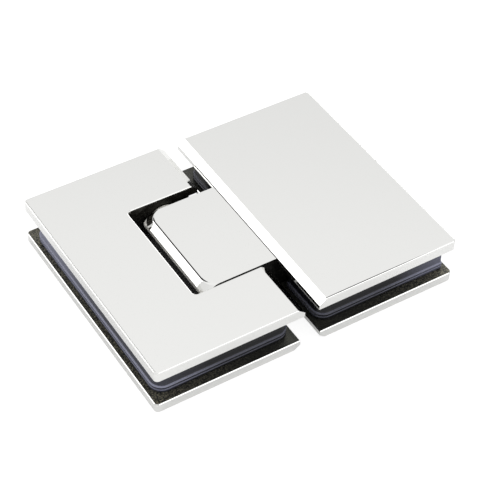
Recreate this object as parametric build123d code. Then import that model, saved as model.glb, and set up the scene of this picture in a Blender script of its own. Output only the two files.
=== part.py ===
from build123d import *
from math import atan, cos, degrees, pi, sin
import os

# Glass-to-glass door hinge, opened flat at 180 degrees and lying on its rear plates.
# Millimetres, +Z up. The origin is at the middle of the underside, the pin runs along Y,
# the fixed leaf is on the +X side and the door leaf on the -X side.

# ---- driving dimensions: plates ---------------------------------------------------------
hinge_length = 115.0        # X, over both leaves
leaf_height = 90.0          # Y, along the pin
plate_thickness = 3.9
glass_space = 11.0          # between the two plates of a leaf
front_gap = 5.5             # between the leaves' front plates
rear_gap = 7.6              # between the leaves' rear plates
bevel_width = 2.6           # on the outer face, along the gap
bevel_depth = 2.1
corner_radius = 1.5         # outer corners of the plates
edge_round = 0.6            # on the outer rim of each plate

# ---- knuckle of the fixed leaf and the notch in the door leaf ---------------------------
knuckle_width = 40.0        # Y
pivot_offset = 16.6         # the pin's axis, from the middle of the hinge towards the door
knuckle_reach = 9.1         # from the pin's axis to the knuckle's free end
knuckle_bevel_width = 2.05  # on the free end, front and rear
knuckle_crease_round = 1.2  # where those bevels meet the faces
knuckle_face_corner_radius = 6.0  # the bevels run round the corners and out along the sides
knuckle_corner_radius = 1.5
notch_side_gap = 2.2        # beside the knuckle
notch_end_gap = 4.55        # past the knuckle's free end
notch_corner_radius = 1.5
notch_edge_round = 0.4      # on the plates' outer faces

# ---- bosses: the castings that pass through the cut-out in the glass --------------------
boss_width = 64.0           # Y
boss_start = 8.0            # from the middle of the hinge
boss_end = 46.0
boss_corner_radius = 3.0

# ---- gaskets ----------------------------------------------------------------------------
gasket_thickness = 1.5
front_pad_thickness = 1.5   # the rear pad fills the rest of the slot
gasket_margin_ends = 3.2    # in from the plates' ends
gasket_margin_outer = 1.8   # in from the plates' outer edges
gasket_margin_gap = 2.5     # in from the front plate's edge at the gap
gasket_corner_radius = 4.5
fixed_gasket_outer_radius = 1.0   # the fixed leaf's outer corners are cut nearly square
gasket_clearance = 0.3      # round the boss

# ---- clamp screws: M6 countersunk, hexagon socket ---------------------------------------
screw_diameter = 6.0
screw_head_diameter = 11.6
screw_head_rim = 0.3        # the short cylinder above the cone
screw_length = 16.0
screw_socket = 4.0          # across flats
screw_socket_depth = 2.2
screw_from_middle = 38.0    # X
screw_spacing = 40.0        # Y
screw_hole_clearance = 0.25
collar_diameter = 10.0      # threaded collars behind the front plates
collar_height = 5.0
collar_clearance = 0.3
thread_clearance = 0.05
hole_bottom_clearance = 0.4

# ---- pin, bushes and centring springs ---------------------------------------------------
pin_diameter = 7.0
pin_end_margin = 1.0        # from each end of the pin to the end of its ear
pin_flat_depth = 0.6        # flat towards the pressure bar
pin_end_chamfer = 0.5
running_clearance = 0.05    # radial, pin in its bushes
bush_wall = 1.1
bush_flange_diameter = 12.0
bush_flange_clearance = 0.3
ear_clearance = 0.03        # radial, pin in the door leaf's ears
pocket_width = 28.0         # Y, spring pocket in the knuckle
pocket_roof = 2.25
pocket_pin_clearance = 0.6
bar_thickness = 3.0
bar_height = 9.0
bar_end_clearance = 0.3
spring_count = 3
spring_pitch_y = 9.0        # between the springs
spring_length = 9.0
spring_diameter = 5.6
spring_wire = 1.0           # square section
spring_turns = 4
bar_round = 0.4
spring_seat_depth = 2.0
spring_seat_clearance = 0.2

# ---- cover under the spring pocket, and the small screws --------------------------------
cover_thickness = 1.6
cover_rim = 5.0             # past the pocket's ends, for the screws
cover_clearance = 0.1
cover_screw_from_pin = 9.5  # X
cover_screw_diameter = 2.5
cover_screw_head_diameter = 4.7
cover_screw_head_rim = 0.1
cover_screw_length = 5.0
cover_screw_socket = 1.5
cover_screw_socket_depth = 0.9
grub_diameter = 4.0
grub_length = 4.0
grub_socket = 2.0
grub_socket_depth = 1.6

# ---- places that follow from the sizes --------------------------------------------------
half_length = hinge_length / 2
half_height = leaf_height / 2
rear_inner_z = plate_thickness
front_inner_z = plate_thickness + glass_space
front_face_z = front_inner_z + plate_thickness
middle_z = front_face_z / 2
front_edge_x = front_gap / 2
rear_edge_x = rear_gap / 2
pin_x = -pivot_offset
pin_radius = pin_diameter / 2
knuckle_half = knuckle_width / 2
knuckle_end_x = pin_x - knuckle_reach
knuckle_top_z = front_face_z - bevel_depth
knuckle_foot_z = bevel_depth
notch_half = knuckle_half + notch_side_gap
notch_x = knuckle_end_x - notch_end_gap
bush_radius = pin_radius + running_clearance + bush_wall
pocket_start_x = pin_x - pin_radius - pocket_pin_clearance
bar_x = pin_x + pin_radius + running_clearance
spring_x = bar_x + bar_thickness
spring_seat_x = spring_x + spring_length
pocket_end_x = spring_seat_x - spring_seat_depth
pocket_half = pocket_width / 2
pocket_foot_z = knuckle_foot_z + cover_thickness
pocket_roof_z = knuckle_top_z - pocket_roof
cover_half = pocket_half + cover_rim
cover_screw_x = pin_x + cover_screw_from_pin
cover_screw_y = pocket_half + cover_rim / 2
boss_half = boss_width / 2
pin_length = boss_width - 2 * pin_end_margin
front_pad_z = front_inner_z - gasket_thickness - front_pad_thickness
rear_pad_z = rear_inner_z + gasket_thickness


def box_between(low, high):
    """A block between two opposite corners."""
    size = [b - a for a, b in zip(low, high)]
    middle = [(a + b) / 2 for a, b in zip(low, high)]
    return Pos(*middle) * Box(*size)


def rounded_slab(low_x, high_x, half_y, low_z, high_z, radius):
    """A flat slab with rounded upright corners, centred on the XZ plane."""
    outline = RectangleRounded(high_x - low_x, 2 * half_y, radius)
    slab = extrude(outline, high_z - low_z)
    return Pos((low_x + high_x) / 2, 0, low_z) * slab


def upright_edges_at(solid, x, tolerance=0.01):
    """The edges parallel to Z that stand at this X."""
    return [e for e in solid.edges().filter_by(Axis.Z) if abs(e.center().X - x) < tolerance]


def screw_places(side):
    """Where a leaf's clamp screws stand. Side is 1 for the fixed leaf, -1 for the door leaf."""
    return [Pos(side * screw_from_middle, y, 0) for y in (-screw_spacing / 2, screw_spacing / 2)]


# ---- plates -----------------------------------------------------------------------------
def plate_blank(edge_x):
    """A front plate of the fixed leaf: a flat bar, bevelled along the gap, its rim rounded."""
    corners = [
        (edge_x, front_inner_z),
        (half_length, front_inner_z),
        (half_length, front_face_z),
        (edge_x + bevel_width, front_face_z),
        (edge_x, front_face_z - bevel_depth),
    ]
    section = make_face(Plane.XZ * Polyline(*corners, close=True))
    plate = extrude(section, half_height, both=True)
    plate = fillet(upright_edges_at(plate, half_length), corner_radius)
    face = plate.faces().sort_by(Axis.Z)[-1]
    rim = [e for e in face.edges() if e.center().X > edge_x + bevel_width + 0.01]
    return fillet(rim, edge_round)


def rear_blank():
    """A rear plate of the fixed leaf: the same section turned face down, with its own gap."""
    return mirror(plate_blank(rear_edge_x), Plane.XY.offset(middle_z))


def notch_cutter():
    """The space for the knuckle, through both plates of the door leaf."""
    cutter = box_between((notch_x, -notch_half, -1), (0, notch_half, front_face_z + 1))
    return fillet(upright_edges_at(cutter, notch_x), notch_corner_radius)


def collars(side):
    """Threaded collars on a front plate's back, with blind holes for the clamp screws."""
    collar = Cylinder(collar_diameter / 2, collar_height, align=(Align.CENTER, Align.CENTER, Align.MAX))
    return [place * Pos(0, 0, front_inner_z) * collar for place in screw_places(side)]


def tapped_holes(side):
    """The blind holes in the collars, a little deeper than the screws reach."""
    depth = screw_length + hole_bottom_clearance - (front_inner_z - collar_height)
    hole = Cylinder(screw_diameter / 2 + thread_clearance, depth,
                    align=(Align.CENTER, Align.CENTER, Align.MIN))
    return [place * Pos(0, 0, front_inner_z - collar_height) * hole for place in screw_places(side)]


def countersunk_tool(diameter, head_diameter, rim, length):
    """A countersunk screw's outline, head down, with its face at height 0."""
    radius = diameter / 2
    head_radius = head_diameter / 2
    cone_end = rim + head_radius - radius
    outline = [(0, 0), (head_radius, 0), (head_radius, rim), (radius, cone_end), (radius, length), (0, length)]
    section = make_face(Plane.XZ * Polyline(*outline, close=True))
    return revolve(section, Axis.Z)


def countersinks(side):
    """The holes for the clamp screws through a rear plate."""
    tool = countersunk_tool(screw_diameter + 2 * screw_hole_clearance,
                            screw_head_diameter + 2 * thread_clearance, screw_head_rim, screw_length)
    return [place * tool for place in screw_places(side)]


def fixed_front_plate():
    return plate_blank(front_edge_x) + collars(1) - tapped_holes(1)


def fixed_rear_plate():
    return rear_blank() - countersinks(1)


def notched(plate, face_z):
    """A door plate with the knuckle's notch, whose edges are rounded on the plate's outer face."""
    plate -= notch_cutter()
    rim = [e for e in plate.edges() if abs(e.center().Z - face_z) < 0.01
           and e.center().X > notch_x - 0.01 and abs(e.center().Y) < notch_half + 0.01]
    return fillet(rim, notch_edge_round)


def door_front_plate():
    plate = mirror(plate_blank(front_edge_x), Plane.YZ)
    return notched(plate, front_face_z) + collars(-1) - tapped_holes(-1)


def door_rear_plate():
    return notched(mirror(rear_blank(), Plane.YZ), 0) - countersinks(-1)


# ---- knuckle casting of the fixed leaf --------------------------------------------------
def knuckle_bevels():
    """What the knuckle's bevels leave: from the top face, widening downwards at their slope. It
    is a little wider than the knuckle, so that the round on its creases leaves the sides alone."""
    crease_x = knuckle_end_x + knuckle_bevel_width
    face = Rectangle(boss_end - crease_x, knuckle_width + knuckle_crease_round,
                     align=(Align.MIN, Align.CENTER))
    face = fillet(face.vertices().group_by(Axis.X)[0], knuckle_face_corner_radius)
    slope = degrees(atan(knuckle_bevel_width / bevel_depth))
    solid = extrude(Pos(crease_x, 0, knuckle_top_z) * face, knuckle_foot_z - knuckle_top_z, taper=-slope)
    return fillet(solid.faces().sort_by(Axis.Z)[-1].edges(), knuckle_crease_round)


def knuckle_body():
    """The knuckle's outside: a thick bar, bevelled at its free end, front and rear alike."""
    corners = [
        (front_edge_x, knuckle_top_z),
        (knuckle_end_x, knuckle_top_z),
        (knuckle_end_x, knuckle_foot_z),
        (rear_edge_x, knuckle_foot_z),
        (rear_edge_x, rear_inner_z),
        (front_edge_x, rear_inner_z),
    ]
    section = make_face(Plane.XZ * Polyline(*corners, close=True))
    body = extrude(section, knuckle_half, both=True)
    body = fillet(upright_edges_at(body, knuckle_end_x), knuckle_corner_radius)
    bevels = knuckle_bevels()
    return body & bevels & mirror(bevels, Plane.XY.offset(middle_z))


def boss_screw_holes(side):
    """Clearance for the clamp screws and, behind the front plate, for its collars."""
    hole = Cylinder(screw_diameter / 2 + screw_hole_clearance, front_face_z,
                    align=(Align.CENTER, Align.CENTER, Align.MIN))
    recess = Cylinder(collar_diameter / 2 + collar_clearance, collar_height + collar_clearance,
                      align=(Align.CENTER, Align.CENTER, Align.MAX))
    tools = []
    for place in screw_places(side):
        tools.append(place * hole)
        tools.append(place * Pos(0, 0, front_inner_z) * recess)
    return tools


def spring_axes():
    """The springs' axes, lying along X at the pin's height."""
    first = -(spring_count - 1) / 2 * spring_pitch_y
    return [first + i * spring_pitch_y for i in range(spring_count)]


def lying_cylinder(radius, low_x, high_x, y, z):
    """A cylinder along X between two X values."""
    turned = Rot(0, 90, 0) * Cylinder(radius, high_x - low_x)
    return Pos((low_x + high_x) / 2, y, z) * turned


def pin_line_cylinder(radius, low_y, high_y):
    """A cylinder on the pin's axis between two Y values."""
    turned = Rot(90, 0, 0) * Cylinder(radius, high_y - low_y)
    return Pos(pin_x, (low_y + high_y) / 2, middle_z) * turned


def knuckle_block():
    """The casting: knuckle, neck and boss, with the pin's bore, the spring pocket and its seats."""
    neck = box_between((front_edge_x, -knuckle_half, rear_inner_z),
                       (boss_start + boss_corner_radius, knuckle_half, front_inner_z))
    boss = rounded_slab(boss_start, boss_end, boss_half, rear_inner_z, front_inner_z, boss_corner_radius)
    block = knuckle_body() + neck + boss
    block -= pin_line_cylinder(bush_radius, -knuckle_half, knuckle_half)
    block -= box_between((pocket_start_x, -pocket_half, knuckle_foot_z - 1),
                         (pocket_end_x, pocket_half, pocket_roof_z))
    seat_radius = spring_diameter / 2 + spring_seat_clearance
    block -= [lying_cylinder(seat_radius, pocket_end_x - 1, spring_seat_x, y, middle_z)
              for y in spring_axes()]
    block -= box_between((pocket_start_x, -cover_half, knuckle_foot_z - 1),
                         (pocket_end_x, cover_half, pocket_foot_z))
    block -= [place * cover_screw_hole() for place in cover_screw_places()]
    block -= boss_screw_holes(1)
    return block


# ---- cover of the spring pocket ---------------------------------------------------------
def cover_screw_places():
    return [Pos(cover_screw_x, y, knuckle_foot_z) for y in (-cover_screw_y, cover_screw_y)]


def cover_screw_hole():
    """The tapped hole in the knuckle for a cover screw."""
    return Cylinder(cover_screw_diameter / 2 + thread_clearance, cover_screw_length + hole_bottom_clearance,
                    align=(Align.CENTER, Align.CENTER, Align.MIN))


def spring_cover():
    """The plate let into the knuckle's underside, which keeps the springs in."""
    cover = box_between((pocket_start_x + cover_clearance, -cover_half + cover_clearance, knuckle_foot_z),
                        (pocket_end_x - cover_clearance, cover_half - cover_clearance, pocket_foot_z))
    tool = countersunk_tool(cover_screw_diameter + 2 * screw_hole_clearance,
                            cover_screw_head_diameter + 2 * thread_clearance, cover_screw_head_rim,
                            cover_screw_length)
    return cover - [place * tool for place in cover_screw_places()]


# ---- screws -----------------------------------------------------------------------------
def hexagon_socket(across_flats, depth):
    """The recess for a hexagon key, open at height 0."""
    return extrude(RegularPolygon(across_flats / 2, 6, major_radius=False), depth)


def clamp_screws(side):
    """A leaf's two countersunk screws, heads flush with the rear plate's outer face."""
    screw = countersunk_tool(screw_diameter, screw_head_diameter, screw_head_rim, screw_length)
    screw -= hexagon_socket(screw_socket, screw_socket_depth)
    return Compound([place * screw for place in screw_places(side)])


def cover_screws():
    screw = countersunk_tool(cover_screw_diameter, cover_screw_head_diameter, cover_screw_head_rim,
                             cover_screw_length)
    screw -= hexagon_socket(cover_screw_socket, cover_screw_socket_depth)
    return Compound([place * screw for place in cover_screw_places()])


# ---- pin and bushes ---------------------------------------------------------------------
def pivot_pin():
    """The hardened pin. Its flat faces the pressure bar while the hinge is at 180 degrees."""
    pin = chamfer(pin_line_cylinder(pin_radius, -pin_length / 2, pin_length / 2).edges(), pin_end_chamfer)
    flat_x = pin_x + pin_radius - pin_flat_depth
    flat = box_between((flat_x, -pocket_half, middle_z - pin_radius), (flat_x + pin_radius, pocket_half,
                                                                      middle_z + pin_radius))
    return pin - flat


def pivot_bushes():
    """Two flanged bushes, pressed into the knuckle's sides. The flanges run against the ears."""
    flange_end = notch_half - bush_flange_clearance
    bore = pin_line_cylinder(pin_radius + running_clearance, -notch_half, notch_half)
    sleeve = pin_line_cylinder(bush_radius, pocket_half, knuckle_half)
    flange = pin_line_cylinder(bush_flange_diameter / 2, knuckle_half, flange_end)
    bush = sleeve + flange - bore
    return Compound([bush, mirror(bush, Plane.XZ)])


# ---- centring springs -------------------------------------------------------------------
def pressure_bar():
    """The hardened bar that the springs press towards the pin, with rounded long edges."""
    half = pocket_half - bar_end_clearance
    bar = box_between((bar_x, -half, middle_z - bar_height / 2),
                      (spring_x, half, middle_z + bar_height / 2))
    return fillet(bar.edges().filter_by(Axis.Y), bar_round)


def centring_springs():
    """Compression springs between the bar and their seats in the knuckle."""
    coil_radius = (spring_diameter - spring_wire) / 2
    lean = atan((spring_length - spring_wire) / spring_turns / (2 * pi * coil_radius))
    wire_height = spring_wire * (cos(lean) + sin(lean))
    rise = spring_length - wire_height
    path = Helix(rise / spring_turns, rise, coil_radius)
    start = Plane(origin=path @ 0, x_dir=(1, 0, 0), z_dir=path % 0)
    coil = sweep(start * Rectangle(spring_wire, spring_wire), path=path, is_frenet=True)
    lying = Rot(0, 90, 0) * coil
    return Compound([Pos(spring_x + wire_height / 2, y, middle_z) * lying for y in spring_axes()])


# ---- pin carrier of the door leaf -------------------------------------------------------
def pin_carrier():
    """The door leaf's casting: a fork whose two ears hold the pin's ends."""
    carrier = rounded_slab(-boss_end, -boss_start, boss_half, rear_inner_z, front_inner_z, boss_corner_radius)
    carrier -= notch_cutter()
    carrier -= pin_line_cylinder(pin_radius + ear_clearance, -pin_length / 2, pin_length / 2)
    carrier -= [lying_cylinder(grub_diameter / 2 + thread_clearance, pin_x, -boss_start + 1, y, middle_z)
                for y in grub_places()]
    return carrier - boss_screw_holes(-1)


def grub_places():
    """The middle of each ear's grip on the pin."""
    y = (notch_half + pin_length / 2) / 2
    return (-y, y)


def pin_grub_screws():
    """Grub screws through the ears' ends, which hold the pin so that it turns with the door."""
    start = pin_x + pin_radius
    screw = Cylinder(grub_diameter / 2, grub_length, align=(Align.CENTER, Align.CENTER, Align.MIN))
    screw -= hexagon_socket(grub_socket, grub_socket_depth)
    lying = Rot(0, -90, 0) * screw
    return Compound([Pos(start + grub_length, y, middle_z) * lying for y in grub_places()])


# ---- gaskets ----------------------------------------------------------------------------
def gasket_layer(low_z, thickness, outer_radius):
    """One gasket on the fixed leaf's side: a flat ring round the boss, open where the knuckle passes."""
    start = front_edge_x + gasket_margin_gap
    end = half_length - gasket_margin_outer
    high_z = low_z + thickness
    half = half_height - gasket_margin_ends
    sheet = box_between((start, -half, low_z), (end, half, high_z))
    sheet = fillet(upright_edges_at(sheet, start), gasket_corner_radius)
    sheet = fillet(upright_edges_at(sheet, end), outer_radius)
    window = rounded_slab(boss_start - gasket_clearance, boss_end + gasket_clearance,
                          boss_half + gasket_clearance, low_z, high_z, boss_corner_radius)
    mouth_half = notch_half + gasket_clearance
    mouth = box_between((0, -mouth_half, low_z), (boss_start + boss_corner_radius, mouth_half, high_z))
    return sheet - window - mouth


def gaskets(side):
    """A leaf's four layers, from the rear plate to the front one."""
    layers = {
        "rear_gasket": (rear_inner_z, gasket_thickness),
        "rear_pad": (rear_pad_z, front_pad_z - rear_pad_z),
        "front_pad": (front_pad_z, front_pad_thickness),
        "front_gasket": (front_inner_z - gasket_thickness, gasket_thickness),
    }
    radius = fixed_gasket_outer_radius if side > 0 else gasket_corner_radius
    made = {name: gasket_layer(low_z, thickness, radius) for name, (low_z, thickness) in layers.items()}
    if side < 0:
        made = {name: mirror(layer, Plane.YZ) for name, layer in made.items()}
    return made


# ---- export -----------------------------------------------------------------------------
nodes = {
    "fixed_front_plate": fixed_front_plate(),
    "fixed_rear_plate": fixed_rear_plate(),
    "knuckle_block": knuckle_block(),
    "fixed_clamp_screws": clamp_screws(1),
    "pivot_bushes": pivot_bushes(),
    "pressure_bar": pressure_bar(),
    "centring_springs": centring_springs(),
    "spring_cover": spring_cover(),
    "cover_screws": cover_screws(),
    "door_front_plate": door_front_plate(),
    "door_rear_plate": door_rear_plate(),
    "pin_carrier": pin_carrier(),
    "door_clamp_screws": clamp_screws(-1),
    "pivot_pin": pivot_pin(),
    "pin_grub_screws": pin_grub_screws(),
}
for name, layer in gaskets(1).items():
    nodes["fixed_" + name] = layer
for name, layer in gaskets(-1).items():
    nodes["door_" + name] = layer

os.makedirs("parts", exist_ok=True)
for name, shape in nodes.items():
    export_step(shape, f"parts/{name}.step")
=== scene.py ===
import math

import bpy
import numpy as np
from mathutils import Matrix, Vector


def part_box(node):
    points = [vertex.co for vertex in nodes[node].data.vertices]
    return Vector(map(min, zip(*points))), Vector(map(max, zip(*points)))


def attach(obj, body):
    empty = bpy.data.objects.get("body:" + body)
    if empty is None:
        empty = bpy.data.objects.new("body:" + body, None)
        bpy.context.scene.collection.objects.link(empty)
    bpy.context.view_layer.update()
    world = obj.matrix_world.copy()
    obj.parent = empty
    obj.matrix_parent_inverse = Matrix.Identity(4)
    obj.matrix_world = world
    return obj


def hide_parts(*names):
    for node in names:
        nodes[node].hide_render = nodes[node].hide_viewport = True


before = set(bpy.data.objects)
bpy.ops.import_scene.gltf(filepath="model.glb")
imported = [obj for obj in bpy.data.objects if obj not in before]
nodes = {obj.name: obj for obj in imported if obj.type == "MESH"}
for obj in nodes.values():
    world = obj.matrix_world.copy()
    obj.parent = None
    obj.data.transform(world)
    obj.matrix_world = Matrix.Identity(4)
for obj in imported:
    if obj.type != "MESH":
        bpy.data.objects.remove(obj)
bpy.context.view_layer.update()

MM = 0.001


# ---- Front plates -----------------------------------------------------------------------
# The two plates on the room side of the glass. Each is a flat bar of brass, milled with a
# bevel along the gap, ground and buffed to a mirror, then plated with nickel and chrome.
chrome = "#F0F0EE"
peel_depth = 0.002 * MM
end_round = 0.62 * MM


def linear(hex_colour):
    """sRGB to linear light: c / 12.92 up to 0.04045, above it ((c + 0.055) / 1.055) ** 2.4."""
    srgb = np.array([int(hex_colour[i:i + 2], 16) for i in (1, 3, 5)]) / 255
    light = np.where(srgb <= 0.04045, srgb / 12.92, ((srgb + 0.055) / 1.055) ** 2.4)
    return (*light.tolist(), 1.0)


def add_node(tree, kind, settings=None, inputs=None):
    """Adds one node. An input is a plain value, or another node's output to link."""
    node = tree.nodes.new(kind)
    for name, value in (settings or {}).items():
        setattr(node, name, value)
    for name, value in (inputs or {}).items():
        if isinstance(value, bpy.types.NodeSocket):
            tree.links.new(value, node.inputs[name])
        else:
            node.inputs[name].default_value = value
    return node


def start_material(name):
    """A new material: its node tree, emptied, and its Object coordinates."""
    material = bpy.data.materials.new(name)
    material.use_nodes = True
    material.node_tree.nodes.clear()
    coordinates = add_node(material.node_tree, "ShaderNodeTexCoord").outputs["Object"]
    return material, material.node_tree, coordinates


def polished_chrome(name, tint, haze):
    """Bright chrome over buffed brass. The buffing wheel leaves waves 9 mm long, which bend
    reflections a little, and a faint haze that comes and goes over 25 mm."""
    material, tree, place = start_material(name)
    waves = add_node(tree, "ShaderNodeTexNoise", inputs={
        "Vector": place, "Scale": 1 / (9 * MM), "Detail": 1.0}).outputs["Fac"]
    clouds = add_node(tree, "ShaderNodeTexNoise", inputs={
        "Vector": place, "Scale": 1 / (25 * MM), "Detail": 3.0}).outputs["Fac"]
    roughness = add_node(tree, "ShaderNodeMapRange", inputs={
        "Value": clouds, "From Min": 0.3, "From Max": 0.7,
        "To Min": haze[0], "To Max": haze[1]}).outputs["Result"]
    bump = add_node(tree, "ShaderNodeBump", inputs={
        "Height": waves, "Distance": peel_depth, "Strength": 1.0}).outputs["Normal"]
    shader = add_node(tree, "ShaderNodeBsdfPrincipled", inputs={
        "Base Color": linear(tint), "Metallic": 1.0, "Roughness": roughness, "Normal": bump})
    add_node(tree, "ShaderNodeOutputMaterial", inputs={"Surface": shader.outputs[0]})
    return material


def dress(name, material):
    """Gives a carried-over piece one finish all over."""
    mesh = nodes[name].data
    if not mesh.materials:
        mesh.materials.append(material)
    for i in range(len(mesh.materials)):
        mesh.materials[i] = material


def dress_part(name, material, chosen):
    """Gives only the chosen polygons of a carried-over piece another finish."""
    mesh = nodes[name].data
    mesh.materials.append(material)
    index = np.empty(len(mesh.polygons), np.int32)
    mesh.polygons.foreach_get("material_index", index)
    index[chosen] = len(mesh.materials) - 1
    mesh.polygons.foreach_set("material_index", index)


def polygon_values(name, what):
    """A row of three numbers for each of a piece's polygons: its center or its normal."""
    polygons = nodes[name].data.polygons
    values = np.empty(len(polygons) * 3)
    polygons.foreach_get(what, values)
    return values.reshape(-1, 3)


# The buffing wheel rolls over the plates' outer ends, so the small rounds there are hazier.
face_chrome = polished_chrome("polished_chrome_plate", chrome, haze=(0.03, 0.06))
end_chrome = polished_chrome("hazy_chrome_rim", chrome, haze=(0.42, 0.5))
for name in ("fixed_front_plate", "door_front_plate"):
    dress(name, face_chrome)
    out = np.abs(polygon_values(name, "center")[:, 0])
    upward = np.abs(polygon_values(name, "normal")[:, 2])
    slanting = (upward > 0.02) & (upward < 0.999)
    dress_part(name, end_chrome, (out > out.max() - end_round) & slanting)


# ---- Rear plates ------------------------------------------------------------------------
# The plates on the other side of the glass, which the clamp screws pass through, of the same
# bar with a greyer chrome. Their inner faces are dull and painted dark as the shade under the
# front plates, with paler specks painted as reflections, and their rims are broken on the
# grinding belt.
screw_x = 38 * MM
screw_y = 20 * MM
screw_clear = 8 * MM
inner_rim = 0.25 * MM
flat = 0.01 * MM


def painted_shade_plating(name, tint, speck_colour, speck_size, roughness, sparse=0.6):
    """Dark, uneven plating whose darkness is painted shade, with paler specks painted as the
    reflections that reach it, under which less of the metal shows. They lie close together
    54 mm from the hinge's middle and are rarer, by sparse, at 20 mm."""
    material, tree, place = start_material(name)
    specks = add_node(tree, "ShaderNodeTexNoise", inputs={
        "Vector": place, "Scale": 1 / speck_size, "Detail": 4.0}).outputs["Fac"]
    across = add_node(tree, "ShaderNodeSeparateXYZ", inputs={"Vector": place}).outputs["X"]
    out = add_node(tree, "ShaderNodeMath", {"operation": "ABSOLUTE"}, {0: across}).outputs[0]
    amount = add_node(tree, "ShaderNodeMapRange", inputs={
        "Value": out, "From Min": 20 * MM, "From Max": 54 * MM,
        "To Min": 1 - sparse, "To Max": 1.0}).outputs["Result"]
    speck_mask = add_node(tree, "ShaderNodeMapRange", inputs={
        "Value": specks, "From Min": 0.42, "From Max": 0.72, "To Max": amount}).outputs["Result"]
    colour = add_node(tree, "ShaderNodeMix", {"data_type": "RGBA"}, {
        "Factor": speck_mask, 6: linear(tint), 7: linear(speck_colour)}).outputs[2]
    metallic = add_node(tree, "ShaderNodeMapRange", inputs={
        "Value": speck_mask, "To Min": 0.75, "To Max": 0.2}).outputs["Result"]
    haze = add_node(tree, "ShaderNodeMapRange", inputs={
        "Value": specks, "To Min": roughness[0], "To Max": roughness[1]}).outputs["Result"]
    shader = add_node(tree, "ShaderNodeBsdfPrincipled", inputs={
        "Base Color": colour, "Metallic": metallic, "Roughness": haze})
    add_node(tree, "ShaderNodeOutputMaterial", inputs={"Surface": shader.outputs[0]})
    return material


def faces_at(name, axis, distance, within):
    """The polygons square to an axis whose center is within a little of a distance along it,
    either way from the origin."""
    across = np.abs(polygon_values(name, "center")[:, axis])
    facing = np.abs(polygon_values(name, "normal")[:, axis])
    return (np.abs(across - distance) < within) & (facing > 0.99)


def break_inner_rim(name, width):
    """The inner face's outline gets a flat chamfer. The solid's faces aren't joined, so its
    edges are those that bound one polygon only, with both ends at the top, away from the
    screw holes. Normals weighted by area keep the wide faces flat."""
    piece = nodes[name]
    mesh = piece.data
    points = np.empty(len(mesh.vertices) * 3)
    mesh.vertices.foreach_get("co", points)
    ends = np.empty(len(mesh.edges) * 2, np.int32)
    mesh.edges.foreach_get("vertices", ends)
    sides = np.empty(len(mesh.loops), np.int32)
    mesh.loops.foreach_get("edge_index", sides)
    edge_ends = points.reshape(-1, 3)[ends.reshape(-1, 2)]
    middle = np.abs(edge_ends.mean(axis=1))
    outline = np.bincount(sides, minlength=len(mesh.edges)) == 1
    at_top = edge_ends[:, :, 2].min(axis=1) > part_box(name)[1].z - flat
    from_screw = np.hypot(middle[:, 0] - screw_x, middle[:, 1] - screw_y)
    weights = mesh.attributes.new("bevel_weight_edge", "FLOAT", "EDGE")
    weights.data.foreach_set("value", (outline & at_top & (from_screw > screw_clear)).astype(np.float32))
    weld = piece.modifiers.new("merge", "WELD")
    weld.merge_threshold = 0.001 * MM
    chamfer = piece.modifiers.new("inner_rim", "BEVEL")
    chamfer.width = width
    chamfer.segments = 1
    chamfer.limit_method = "WEIGHT"
    chamfer.use_clamp_overlap = False
    chamfer.loop_slide = False
    chamfer.material = 0
    split = piece.modifiers.new("crisp_edges", "EDGE_SPLIT")
    split.split_angle = math.radians(30)
    weighted = piece.modifiers.new("flat_faces", "WEIGHTED_NORMAL")
    weighted.weight = 100


rear_chrome = polished_chrome("polished_chrome_rear_plate", "#E3E3E1", haze=(0.03, 0.06))
# The inner faces' dark colour is painted shade, and their paler specks are painted reflections, denser
# towards the outer ends.
inner_face_shade = painted_shade_plating("inner_faces_painted_shade", "#3F403D", "#928D7A",
                         speck_size=0.5 * MM, roughness=(0.2, 0.45), sparse=0.8)
for name in ("fixed_rear_plate", "door_rear_plate"):
    dress(name, rear_chrome)
    dress_part(name, inner_face_shade, faces_at(name, 2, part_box(name)[1].z, flat))
    break_inner_rim(name, inner_rim)

# The sides of the door plates' notch, with the first strips of the rounds at their ends, are
# painted dark as the shade in the narrow gap round the knuckle.
notch_half = 22.2 * MM
strip = 0.02 * MM
notch_shade = painted_shade_plating("notch_walls_painted_shade", "#2A2824", "#3A3833",
                      speck_size=1.5 * MM, roughness=(0.25, 0.45))
for name in ("door_front_plate", "door_rear_plate"):
    dress_part(name, notch_shade, faces_at(name, 1, notch_half, strip))


# ---- Knuckle block ----------------------------------------------------------------------
# The fixed leaf's casting, plated with the plates and buffed on its faces and its bevels. The
# wheel only brushes the wall beyond a bevel's foot. Deeper in, and on the sides, neck and
# boss, the casting is painted dark as the shade in the gap, and a painted dark line stands
# for the shadow in the seam along the plate.
knuckle_half = 20 * MM
side_round = 0.1 * MM
middle_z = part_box("fixed_front_plate")[1].z / 2
seam_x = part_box("fixed_front_plate")[0].x
seam_shadow_width = 0.35 * MM


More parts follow.
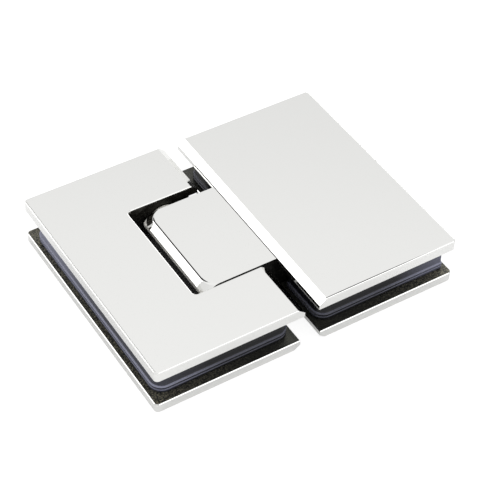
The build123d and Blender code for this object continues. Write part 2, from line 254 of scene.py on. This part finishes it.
def buffed_casting(name, bright, satin, shade_colour, satin_from, bright_from):
    """Mirror-bright chrome past a height above or below the middle, satin before it, and between
    them painted shade in a dull dark colour, with grain 0.6 mm across. A painted dark line, the
    seam's shadow, runs along the joint with the plate."""
    material, tree, place = start_material(name)
    parts = add_node(tree, "ShaderNodeSeparateXYZ", inputs={"Vector": place})
    from_middle = add_node(tree, "ShaderNodeMath", {"operation": "SUBTRACT"}, {
        0: parts.outputs["Z"], 1: middle_z}).outputs[0]
    away = add_node(tree, "ShaderNodeMath", {"operation": "ABSOLUTE"}, {0: from_middle}).outputs[0]
    brushed = add_node(tree, "ShaderNodeMapRange", inputs={
        "Value": away, "From Min": satin_from - 0.2 * MM,
        "From Max": satin_from + 0.2 * MM}).outputs["Result"]
    buffed = add_node(tree, "ShaderNodeMapRange", inputs={
        "Value": away, "From Min": bright_from - 0.3 * MM,
        "From Max": bright_from - 0.1 * MM}).outputs["Result"]
    off_joint = add_node(tree, "ShaderNodeMath", {"operation": "SUBTRACT"}, {
        0: parts.outputs["X"], 1: seam_x}).outputs[0]
    seam_shadow = add_node(tree, "ShaderNodeMath", {"operation": "COMPARE"}, {
        0: off_joint, 1: 0.0, 2: seam_shadow_width}).outputs[0]
    waves = add_node(tree, "ShaderNodeTexNoise", inputs={
        "Vector": place, "Scale": 1 / (9 * MM), "Detail": 1.0}).outputs["Fac"]
    grain = add_node(tree, "ShaderNodeTexNoise", inputs={
        "Vector": place, "Scale": 1 / (0.6 * MM), "Detail": 2.0}).outputs["Fac"]
    dull = add_node(tree, "ShaderNodeMapRange", inputs={
        "Value": grain, "To Min": 0.3, "To Max": 0.6}).outputs["Result"]
    wall = add_node(tree, "ShaderNodeMix", {"data_type": "RGBA"}, {
        "Factor": brushed, 6: linear(shade_colour), 7: linear(satin)}).outputs[2]
    plated = add_node(tree, "ShaderNodeMix", {"data_type": "RGBA"}, {
        "Factor": buffed, 6: wall, 7: linear(bright)}).outputs[2]
    colour = add_node(tree, "ShaderNodeMix", {"data_type": "RGBA"}, {
        "Factor": seam_shadow, 6: plated, 7: linear(shade_colour)}).outputs[2]
    roughness = add_node(tree, "ShaderNodeMix", inputs={
        "Factor": buffed, 2: dull, 3: 0.04}).outputs[0]
    bump = add_node(tree, "ShaderNodeBump", inputs={
        "Height": waves, "Distance": peel_depth, "Strength": 1.0}).outputs["Normal"]
    shader = add_node(tree, "ShaderNodeBsdfPrincipled", inputs={
        "Base Color": colour, "Metallic": buffed, "Roughness": roughness,
        "Specular IOR Level": 0.2, "Normal": bump})
    add_node(tree, "ShaderNodeOutputMaterial", inputs={"Surface": shader.outputs[0]})
    return material


# The dark colour here is painted shade, deep in the gap and along the seam.
casting = buffed_casting("chromed_knuckle_casting", chrome, satin="#F2F0EA", shade_colour="#11100F",
                         satin_from=3.5 * MM, bright_from=5.2 * MM)
dress("knuckle_block", casting)
# The knuckle's sides, across a narrow gap from the notch walls, are painted dark as shade.
knuckle_side_shade = painted_shade_plating("knuckle_sides_painted_shade", "#1A1917", "#2C2A26", speck_size=1.2 * MM, roughness=(0.3, 0.5))
dress_part("knuckle_block", knuckle_side_shade, faces_at("knuckle_block", 1, knuckle_half, side_round))


# ---- Cover and its screws ---------------------------------------------------------------
# A lid of plated sheet metal let into the knuckle's underside over the springs, with two
# small countersunk screws. The lid is only brushed, lengthways.
def brushed_metal(name, tint, stretch, line_width, roughness):
    """Brushed metal: lines as wide as line_width, drawn out along an axis where stretch is
    small, make its gloss uneven and stand 0.004 mm high."""
    material, tree, place = start_material(name)
    drawn = add_node(tree, "ShaderNodeMapping", inputs={"Vector": place, "Scale": stretch}).outputs["Vector"]
    lines = add_node(tree, "ShaderNodeTexNoise", inputs={
        "Vector": drawn, "Scale": 1 / line_width, "Detail": 3.0}).outputs["Fac"]
    haze = add_node(tree, "ShaderNodeMapRange", inputs={
        "Value": lines, "From Min": 0.3, "From Max": 0.7,
        "To Min": roughness[0], "To Max": roughness[1]}).outputs["Result"]
    bump = add_node(tree, "ShaderNodeBump", inputs={
        "Height": lines, "Distance": 0.004 * MM, "Strength": 1.0}).outputs["Normal"]
    shader = add_node(tree, "ShaderNodeBsdfPrincipled", inputs={
        "Base Color": linear(tint), "Metallic": 1.0, "Roughness": haze, "Normal": bump})
    add_node(tree, "ShaderNodeOutputMaterial", inputs={"Surface": shader.outputs[0]})
    return material


nickel = brushed_metal("brushed_nickel_sheet", "#CFCBC2", stretch=(1.0, 0.04, 1.0),
                       line_width=0.25 * MM, roughness=(0.22, 0.38))
zinc = brushed_metal("bright_zinc_screws", "#C9C9C6", stretch=(1.0, 1.0, 0.1),
                     line_width=0.3 * MM, roughness=(0.2, 0.4))
dress("spring_cover", nickel)
dress("cover_screws", zinc)


# ---- Pin, bushes, bar and springs -------------------------------------------------------
# The ground steel pin turns in two white acetal bushes. Three square-wire springs press a
# hardened bar against the pin's flats and so bring the door back to its middle.
def moulded_plastic(name, tint, shade, roughness):
    """Moulded plastic: its colour drifts a little over 3 mm, with an orange peel 0.5 mm fine."""
    material, tree, place = start_material(name)
    drift = add_node(tree, "ShaderNodeTexNoise", inputs={
        "Vector": place, "Scale": 1 / (3 * MM), "Detail": 2.0}).outputs["Fac"]
    peel = add_node(tree, "ShaderNodeTexNoise", inputs={
        "Vector": place, "Scale": 1 / (0.5 * MM), "Detail": 1.0}).outputs["Fac"]
    colour = add_node(tree, "ShaderNodeMix", {"data_type": "RGBA"}, {
        "Factor": drift, 6: linear(tint), 7: linear(shade)}).outputs[2]
    bump = add_node(tree, "ShaderNodeBump", inputs={
        "Height": peel, "Distance": 0.01 * MM, "Strength": 1.0}).outputs["Normal"]
    shader = add_node(tree, "ShaderNodeBsdfPrincipled", inputs={
        "Base Color": colour, "Roughness": roughness, "Normal": bump})
    add_node(tree, "ShaderNodeOutputMaterial", inputs={"Surface": shader.outputs[0]})
    return material


pin_steel = brushed_metal("ground_steel_pin", "#B9B7B2", stretch=(1.0, 0.1, 1.0),
                          line_width=0.2 * MM, roughness=(0.15, 0.3))
bar_steel = brushed_metal("hardened_steel_bar", "#8E8C88", stretch=(1.0, 0.1, 1.0),
                          line_width=0.3 * MM, roughness=(0.25, 0.4))
spring_steel = brushed_metal("blued_spring_wire", "#4A4B50", stretch=(1.0, 1.0, 1.0),
                             line_width=0.4 * MM, roughness=(0.3, 0.45))
dress("pivot_bushes", moulded_plastic("moulded_white_acetal", "#E9E7DF", "#DDDAD0", roughness=0.35))
dress("pivot_pin", pin_steel)
dress("pressure_bar", bar_steel)
dress("centring_springs", spring_steel)


# ---- Pin carrier and its grub screws ----------------------------------------------------
# The door leaf's casting, which fills the cut-out in its glass and grips the pin's two ends.
# It is out of sight, and its plating is painted dark as the shade it sits in, which the chrome mirrors. The
# grub screws are blackened.
carrier_shade = painted_shade_plating("pin_carrier_painted_shade", "#23211F", "#3B3833", speck_size=0.8 * MM, roughness=(0.35, 0.6))
black_steel = brushed_metal("blackened_grub_screws", "#2B2B2D", stretch=(1.0, 0.2, 1.0),
                            line_width=0.3 * MM, roughness=(0.3, 0.5))
dress("pin_carrier", carrier_shade)
dress("pin_grub_screws", black_steel)


# ---- Clamp screws -----------------------------------------------------------------------
# M6 countersunk stainless screws with a hexagon socket, two to a leaf. Their heads are
# turned, so fine rings run round each screw's axis, which stands at the same place both ways.
def turned_steel(name, tint, ring_pitch, roughness):
    """Turned steel: rings round an axis, 0.003 mm high, make its gloss uneven. The distance
    from the axis is sqrt((|x| - screw_x)^2 + (|y| - screw_y)^2), the same for all screws."""
    material, tree, place = start_material(name)
    folded = add_node(tree, "ShaderNodeVectorMath", {"operation": "ABSOLUTE"}, {0: place}).outputs["Vector"]
    level = add_node(tree, "ShaderNodeVectorMath", {"operation": "MULTIPLY"}, {
        0: folded, 1: (1.0, 1.0, 0.0)}).outputs["Vector"]
    radius = add_node(tree, "ShaderNodeVectorMath", {"operation": "DISTANCE"}, {
        0: level, 1: (screw_x, screw_y, 0.0)}).outputs["Value"]
    turns = add_node(tree, "ShaderNodeMath", {"operation": "MULTIPLY"}, {
        0: radius, 1: 2 * math.pi / ring_pitch}).outputs[0]
    rings = add_node(tree, "ShaderNodeMath", {"operation": "SINE"}, {0: turns}).outputs[0]
    haze = add_node(tree, "ShaderNodeMapRange", inputs={
        "Value": rings, "From Min": -1.0, "To Min": roughness[0], "To Max": roughness[1]}).outputs["Result"]
    bump = add_node(tree, "ShaderNodeBump", inputs={
        "Height": rings, "Distance": 0.003 * MM, "Strength": 1.0}).outputs["Normal"]
    shader = add_node(tree, "ShaderNodeBsdfPrincipled", inputs={
        "Base Color": linear(tint), "Metallic": 1.0, "Roughness": haze, "Normal": bump})
    add_node(tree, "ShaderNodeOutputMaterial", inputs={"Surface": shader.outputs[0]})
    return material


stainless = turned_steel("turned_stainless_screws", "#C8C6C0", ring_pitch=0.25 * MM, roughness=(0.18, 0.32))
dress("fixed_clamp_screws", stainless)
dress("door_clamp_screws", stainless)


# ---- Gaskets and pads -------------------------------------------------------------------
# The packing in each leaf's glass slot: smooth black rubber sheets, stamped to the plates'
# outline and open where the boss and the knuckle pass. The rear pad has a wider foot. Each
# rounded lip has a painted blue-grey highlight, strongest near the hinge's outer ends.
window_clearance = 0.3 * MM
mouth_half = notch_half + window_clearance
boss_start = 8 * MM
boss_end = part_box("knuckle_block")[1]
open_x = boss_start - window_clearance
end_x = boss_end.x + window_clearance
open_y = boss_end.y + window_clearance
gasket_corner = 4.5 * MM
square_corner = 1.0 * MM
window_corner = 3.0 * MM
mouth_corner = 0.4 * MM
edge = 0.3 * MM
lip = 0.55 * MM
foot = 1.25 * MM
step = 0.45 * MM
black = "#0A0A0C"
worn_black = "#16171C"
# The next three colours are painted highlights on the lips of the gasket, the rear pad's foot and the other
# pads.
gasket_highlight = "#74768A"
foot_highlight = "#8E90A4"
pad_highlight = "#5E6070"


def rubber(name, tint, patch, highlight, lip_low, lip_high, wall_highlight):
    """Smooth black rubber, greyer in patches over 9 mm, its gloss uneven over 4 mm. A band
    between two heights has a painted highlight, which grows from 28 to 54 mm away from the
    hinge's middle. Near the outer ends the wall has a painted highlight too, from
    wall_highlight in front to 0.7 behind."""
    material, tree, place = start_material(name)
    patches = add_node(tree, "ShaderNodeTexNoise", inputs={
        "Vector": place, "Scale": 1 / (9 * MM), "Detail": 2.0}).outputs["Fac"]
    wipes = add_node(tree, "ShaderNodeTexNoise", inputs={
        "Vector": place, "Scale": 1 / (4 * MM), "Detail": 2.0}).outputs["Fac"]
    parts = add_node(tree, "ShaderNodeSeparateXYZ", inputs={"Vector": place})
    out = add_node(tree, "ShaderNodeMath", {"operation": "ABSOLUTE"}, {0: parts.outputs["X"]}).outputs[0]
    outer = add_node(tree, "ShaderNodeMapRange", {"interpolation_type": "SMOOTHSTEP"}, {
        "Value": out, "From Min": 28 * MM, "From Max": 54 * MM, "To Min": 0.3}).outputs["Result"]
    back = add_node(tree, "ShaderNodeMapRange", {"interpolation_type": "SMOOTHSTEP"}, {
        "Value": parts.outputs["Y"], "From Min": -10 * MM, "From Max": 45 * MM,
        "To Min": wall_highlight, "To Max": 0.7}).outputs["Result"]
    end = add_node(tree, "ShaderNodeMapRange", inputs={
        "Value": out, "From Min": 36 * MM, "From Max": 54 * MM}).outputs["Result"]
    lip_middle = (lip_low + lip_high) / 2
    rise = add_node(tree, "ShaderNodeMapRange", {"interpolation_type": "SMOOTHSTEP"}, {
        "Value": parts.outputs["Z"], "From Min": lip_low, "From Max": lip_middle}).outputs["Result"]
    fall = add_node(tree, "ShaderNodeMapRange", {"interpolation_type": "SMOOTHSTEP"}, {
        "Value": parts.outputs["Z"], "From Min": lip_high, "From Max": lip_middle}).outputs["Result"]
    band = add_node(tree, "ShaderNodeMath", {"operation": "MULTIPLY"}, {0: rise, 1: fall}).outputs[0]
    outer_band = add_node(tree, "ShaderNodeMath", {"operation": "MULTIPLY"}, {0: band, 1: outer}).outputs[0]
    wall = add_node(tree, "ShaderNodeMath", {"operation": "MULTIPLY"}, {0: back, 1: end}).outputs[0]
    highlighted = add_node(tree, "ShaderNodeMath", {"operation": "MAXIMUM"}, {0: outer_band, 1: wall}).outputs[0]
    plain = add_node(tree, "ShaderNodeMix", {"data_type": "RGBA"}, {
        "Factor": patches, 6: linear(tint), 7: linear(patch)}).outputs[2]
    colour = add_node(tree, "ShaderNodeMix", {"data_type": "RGBA"}, {
        "Factor": highlighted, 6: plain, 7: linear(highlight)}).outputs[2]
    roughness = add_node(tree, "ShaderNodeMapRange", inputs={
        "Value": wipes, "To Min": 0.15, "To Max": 0.4}).outputs["Result"]
    shader = add_node(tree, "ShaderNodeBsdfPrincipled", inputs={
        "Base Color": colour, "Roughness": roughness, "Specular IOR Level": 0.3})
    add_node(tree, "ShaderNodeOutputMaterial", inputs={"Surface": shader.outputs[0]})
    return material


def rounded_outline(corners, radii, inset, steps=7):
    """A closed outline of square corners, drawn in by inset. A corner moves inwards by inset
    along both of its edges' normals, and its arc's radius shrinks by inset where the outline
    turns left and grows where it turns right. Each arc is corner + r (out - in) + r (in sin t
    - out cos t), for t from 0 to a right angle."""
    into = corners - np.roll(corners, 1, axis=0)
    into /= np.linalg.norm(into, axis=1, keepdims=True)
    out = np.roll(into, -1, axis=0)
    left = np.stack([-into[:, 1], into[:, 0]], axis=1) + np.stack([-out[:, 1], out[:, 0]], axis=1)
    turn = np.sign(into[:, 0] * out[:, 1] - into[:, 1] * out[:, 0])
    r = np.maximum(radii - inset * turn, 0.02 * MM)[:, None, None]
    t = np.linspace(0, math.pi / 2, steps)[None, :, None]
    arcs = (corners + inset * left)[:, None] + r * (out - into)[:, None]
    arcs = arcs + r * (into[:, None] * np.sin(t) - out[:, None] * np.cos(t))
    return arcs.reshape(-1, 2)


def quarter(inset_from, inset_to, low, high, steps=6):
    """A quarter of an ellipse in a sheet's side, as (inset, height) pairs from low to high. It
    bulges outwards: inset changes as sin t where the side comes out, as 1 - cos t where it
    goes in, and height as the other one, for t from 0 to a right angle."""
    t = np.linspace(0, math.pi / 2, steps)
    early, late = np.sin(t), 1 - np.cos(t)
    inwards = inset_to > inset_from
    inset = inset_from + (inset_to - inset_from) * (late if inwards else early)
    height = low + (high - low) * (early if inwards else late)
    return np.stack([inset, height], axis=1)


def stacked_outline(name, corners, radii, profile):
    """A solid whose side follows (inset, height) pairs: one outline for each pair, quads
    between them, and a flat face at the bottom and top."""
    outlines = [rounded_outline(corners, radii, inset) for inset in profile[:, 0]]
    count = len(outlines[0])
    points = np.c_[np.concatenate(outlines), np.repeat(profile[:, 1], count)]
    ring = np.arange(count)
    ahead = np.roll(ring, -1)
    base = np.arange(len(outlines) - 1)[:, None] * count
    quads = np.stack([base + ring, base + ahead, base + count + ahead, base + count + ring], axis=2)
    faces = quads.reshape(-1, 4).tolist() + [ring[::-1].tolist(), (ring + base[-1] + count).tolist()]
    mesh = bpy.data.meshes.new(name)
    mesh.from_pydata(points.tolist(), [], faces)
    smooth = np.ones(len(faces), bool)
    smooth[-2:] = False
    mesh.polygons.foreach_set("use_smooth", smooth)
    piece = bpy.data.objects.new(name, mesh)
    bpy.context.scene.collection.objects.link(piece)
    return piece


# The last number is how much painted highlight the front of each leaf's wall gets near its outer end.
for side, body, outer_corner, wall_highlight in (("fixed", "fixed_leaf", square_corner, 0.42),
                                             ("door", "door_leaf", gasket_corner, 0.14)):
    for layer in ("rear_gasket", "rear_pad", "front_pad", "front_gasket"):
        node = side + "_" + layer
        low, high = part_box(node)
        near, far = sorted((abs(low.x), abs(high.x)))
        corners = np.array([
            (near, -high.y), (far, -high.y), (far, high.y), (near, high.y), (near, mouth_half),
            (open_x, mouth_half), (open_x, open_y), (end_x, open_y), (end_x, -open_y), (open_x, -open_y),
            (open_x, -mouth_half), (near, -mouth_half)])
        radii = np.array([gasket_corner, outer_corner, outer_corner, gasket_corner]
                         + [mouth_corner] * 2 + [window_corner] * 4 + [mouth_corner] * 2)
        if side == "door":
            corners = (corners * (-1, 1))[::-1]
            radii = radii[::-1]
        # Each layer gets its painted highlight colour and the heights of its highlighted band.
        if layer == "rear_gasket":
            profile = np.concatenate([quarter(lip, 0, low.z, low.z + lip),
                                      quarter(0, lip, high.z - lip, high.z)])
            highlight, lip_low, lip_high = gasket_highlight, high.z - lip, high.z + 0.2 * MM
        elif layer == "rear_pad":
            foot_z = low.z + foot
            profile = np.concatenate([quarter(step, 0, low.z, low.z + step),
                                      quarter(0, step, foot_z - step, foot_z),
                                      quarter(step, step + edge, high.z - edge, high.z)])
            highlight, lip_low, lip_high = foot_highlight, foot_z - 0.6 * MM, foot_z + 0.4 * MM
        else:
            profile = np.concatenate([quarter(step + edge, step, low.z, low.z + edge),
                                      quarter(step, step + edge, high.z - edge, high.z)])
            highlight, lip_low, lip_high = pad_highlight, high.z, high.z + edge
        piece = stacked_outline(node + "_rubber", corners, radii, profile)
        finish = rubber("smooth_rubber_" + node, black, worn_black, highlight, lip_low, lip_high, wall_highlight)
        piece.data.materials.append(finish)
        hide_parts(node)
        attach(piece, body)


# ---- Floor ------------------------------------------------------------------------------
# A white table top that the hinge lies on, so pale that its far side is lost in white. It
# keeps a faint shadow, and the chrome mirrors it a little darker than it is seen.
floor_reach = 2.5
floor_corners = [(-floor_reach, -floor_reach, 0), (floor_reach, -floor_reach, 0),
                 (floor_reach, floor_reach, 0), (-floor_reach, floor_reach, 0)]
floor_mesh = bpy.data.meshes.new("floor")
floor_mesh.from_pydata(floor_corners, [], [(0, 1, 2, 3)])
floor = bpy.data.objects.new("floor", floor_mesh)
bpy.context.scene.collection.objects.link(floor)

table, tree, _ = start_material("white_table")


def lifted(albedo, lift):
    """A white surface that keeps part of its shadow: diffuse reflection plus a constant light."""
    shaded = add_node(tree, "ShaderNodeBsdfDiffuse", inputs={"Color": (albedo, albedo, albedo, 1)})
    glow = add_node(tree, "ShaderNodeEmission", inputs={"Color": (1, 1, 1, 1), "Strength": lift})
    return add_node(tree, "ShaderNodeAddShader", inputs={0: shaded.outputs[0], 1: glow.outputs[0]}).outputs[0]


path = add_node(tree, "ShaderNodeLightPath").outputs
plain = add_node(tree, "ShaderNodeBsdfDiffuse", inputs={"Color": (0.8, 0.8, 0.8, 1)}).outputs[0]
seen = add_node(tree, "ShaderNodeMixShader", inputs={
    "Fac": path["Is Camera Ray"], 1: plain, 2: lifted(albedo=0.3, lift=0.86)}).outputs[0]
mirrored = add_node(tree, "ShaderNodeMath", {"operation": "MAXIMUM"}, {
    0: path["Is Glossy Ray"], 1: path["Is Transmission Ray"]}).outputs[0]
both = add_node(tree, "ShaderNodeMixShader", inputs={
    "Fac": mirrored, 1: seen, 2: lifted(albedo=0.9, lift=0.13)}).outputs[0]
add_node(tree, "ShaderNodeOutputMaterial", inputs={"Surface": both})
floor_mesh.materials.append(table)


# ---- Studio light -----------------------------------------------------------------------
# A white tent, brighter towards its top, with two softboxes behind, a strip light in front
# and two black flags, which the chrome mirrors as dark lines: the round one between a face
# and its bevel, the long one along the right plate's front edge.
world = bpy.data.worlds.new("white_tent")
bpy.context.scene.world = world
world.use_nodes = True
tree = world.node_tree
tree.nodes.clear()
direction = add_node(tree, "ShaderNodeTexCoord").outputs["Generated"]
height = add_node(tree, "ShaderNodeSeparateXYZ", inputs={"Vector": direction}).outputs["Z"]
ramp = add_node(tree, "ShaderNodeValToRGB", inputs={"Fac": height})
stops = [(0.0, 0.74), (0.62, 0.85), (0.70, 0.94), (0.78, 0.99)]
for i, (position, level) in enumerate(stops):
    element = ramp.color_ramp.elements[i] if i < 2 else ramp.color_ramp.elements.new(position)
    element.position = position
    element.color = (level, level, level, 1)


def round_flag(toward, inner, outer, level):
    """How much light a direction keeps: level within inner degrees of the flag's middle, and
    all of it past outer degrees."""
    near = add_node(tree, "ShaderNodeVectorMath", {"operation": "DOT_PRODUCT"}, {
        0: direction, 1: Vector(toward).normalized()}).outputs["Value"]
    return add_node(tree, "ShaderNodeMapRange", {"interpolation_type": "SMOOTHSTEP"}, {
        "Value": near, "From Min": math.cos(math.radians(outer)), "From Max": math.cos(math.radians(inner)),
        "To Min": 1.0, "To Max": level}).outputs["Result"]


def long_flag(middle, half, level):
    """The same for an ellipse overhead: over the direction's X and Y, with a middle and two
    half lengths. Light comes back between 0.8 and 1.3 of its size."""
    away = add_node(tree, "ShaderNodeVectorMath", {"operation": "SUBTRACT"}, {
        0: direction, 1: (*middle, 0.0)}).outputs["Vector"]
    scaled = add_node(tree, "ShaderNodeVectorMath", {"operation": "MULTIPLY"}, {
        0: away, 1: (1 / half[0], 1 / half[1], 0.0)}).outputs["Vector"]
    far = add_node(tree, "ShaderNodeVectorMath", {"operation": "LENGTH"}, {0: scaled}).outputs["Value"]
    return add_node(tree, "ShaderNodeMapRange", {"interpolation_type": "SMOOTHSTEP"}, {
        "Value": far, "From Min": 0.8, "From Max": 1.3, "To Min": level, "To Max": 1.0}).outputs["Result"]


kept = add_node(tree, "ShaderNodeMath", {"operation": "MULTIPLY"}, {
    0: round_flag((-0.15, 0.61, 0.78), inner=17, outer=22, level=0.04),
    1: long_flag(middle=(0.44, -0.07), half=(0.035, 0.42), level=0.02)}).outputs[0]
tent = add_node(tree, "ShaderNodeMix", {"data_type": "RGBA", "blend_type": "MULTIPLY"}, {
    "Factor": 1.0, 6: ramp.outputs["Color"], 7: kept}).outputs[2]
path = add_node(tree, "ShaderNodeLightPath").outputs
colour = add_node(tree, "ShaderNodeMix", {"data_type": "RGBA"}, {
    "Factor": path["Is Camera Ray"], 6: tent, 7: (1, 1, 1, 1)}).outputs[2]
background = add_node(tree, "ShaderNodeBackground", inputs={"Color": colour, "Strength": 1.0})
add_node(tree, "ShaderNodeOutputWorld", inputs={"Surface": background.outputs[0]})


def softbox(name, toward, distance, width, height, radiance):
    """A rectangular lamp facing the hinge. Its power is radiance times pi times its area."""
    toward = Vector(toward).normalized()
    lamp = bpy.data.lights.new(name, "AREA")
    lamp.shape = "RECTANGLE"
    lamp.size = width
    lamp.size_y = height
    lamp.energy = radiance * math.pi * width * height
    holder = bpy.data.objects.new(name, lamp)
    bpy.context.scene.collection.objects.link(holder)
    holder.location = toward * distance
    holder.rotation_euler = toward.to_track_quat("Z", "Y").to_euler()


softbox("back_left_softbox", (-0.66, 0.6, 0.45), distance=1.1, width=0.75, height=0.75, radiance=1.35)
softbox("back_right_softbox", (0.712, 0.596, 0.371), distance=1.1, width=0.5, height=0.5, radiance=1.8)
softbox("front_strip", (0.40, -0.72, 0.56), distance=1.2, width=1.1, height=0.5, radiance=1.1)


# ---- Camera -----------------------------------------------------------------------------
# It looks down on the hinge from the front left through a long lens, from a little over half
# a metre away, rolled by almost two degrees about its own axis.
azimuth, elevation, roll = (math.radians(a) for a in (33.05, 44.65, 1.83))
distance = 554.1 * MM
target = Vector((0.80, -0.14, 9.15)) * MM
lens = 122.74
back = Vector((-math.sin(azimuth) * math.cos(elevation), -math.cos(azimuth) * math.cos(elevation),
               math.sin(elevation)))
right = (-back).cross(Vector((0, 0, 1))).normalized()
up = right.cross(-back)
turned_right = right * math.cos(roll) + up * math.sin(roll)
turned_up = up * math.cos(roll) - right * math.sin(roll)
axes = Matrix((turned_right, turned_up, back)).transposed().to_4x4()
camera_data = bpy.data.cameras.new("camera")
camera_data.lens = lens
camera_data.sensor_width = 36
camera = bpy.data.objects.new("camera", camera_data)
camera.matrix_world = Matrix.Translation(target + back * distance) @ axes
bpy.context.scene.collection.objects.link(camera)
bpy.context.scene.camera = camera
bpy.context.scene.view_settings.view_transform = "Standard"
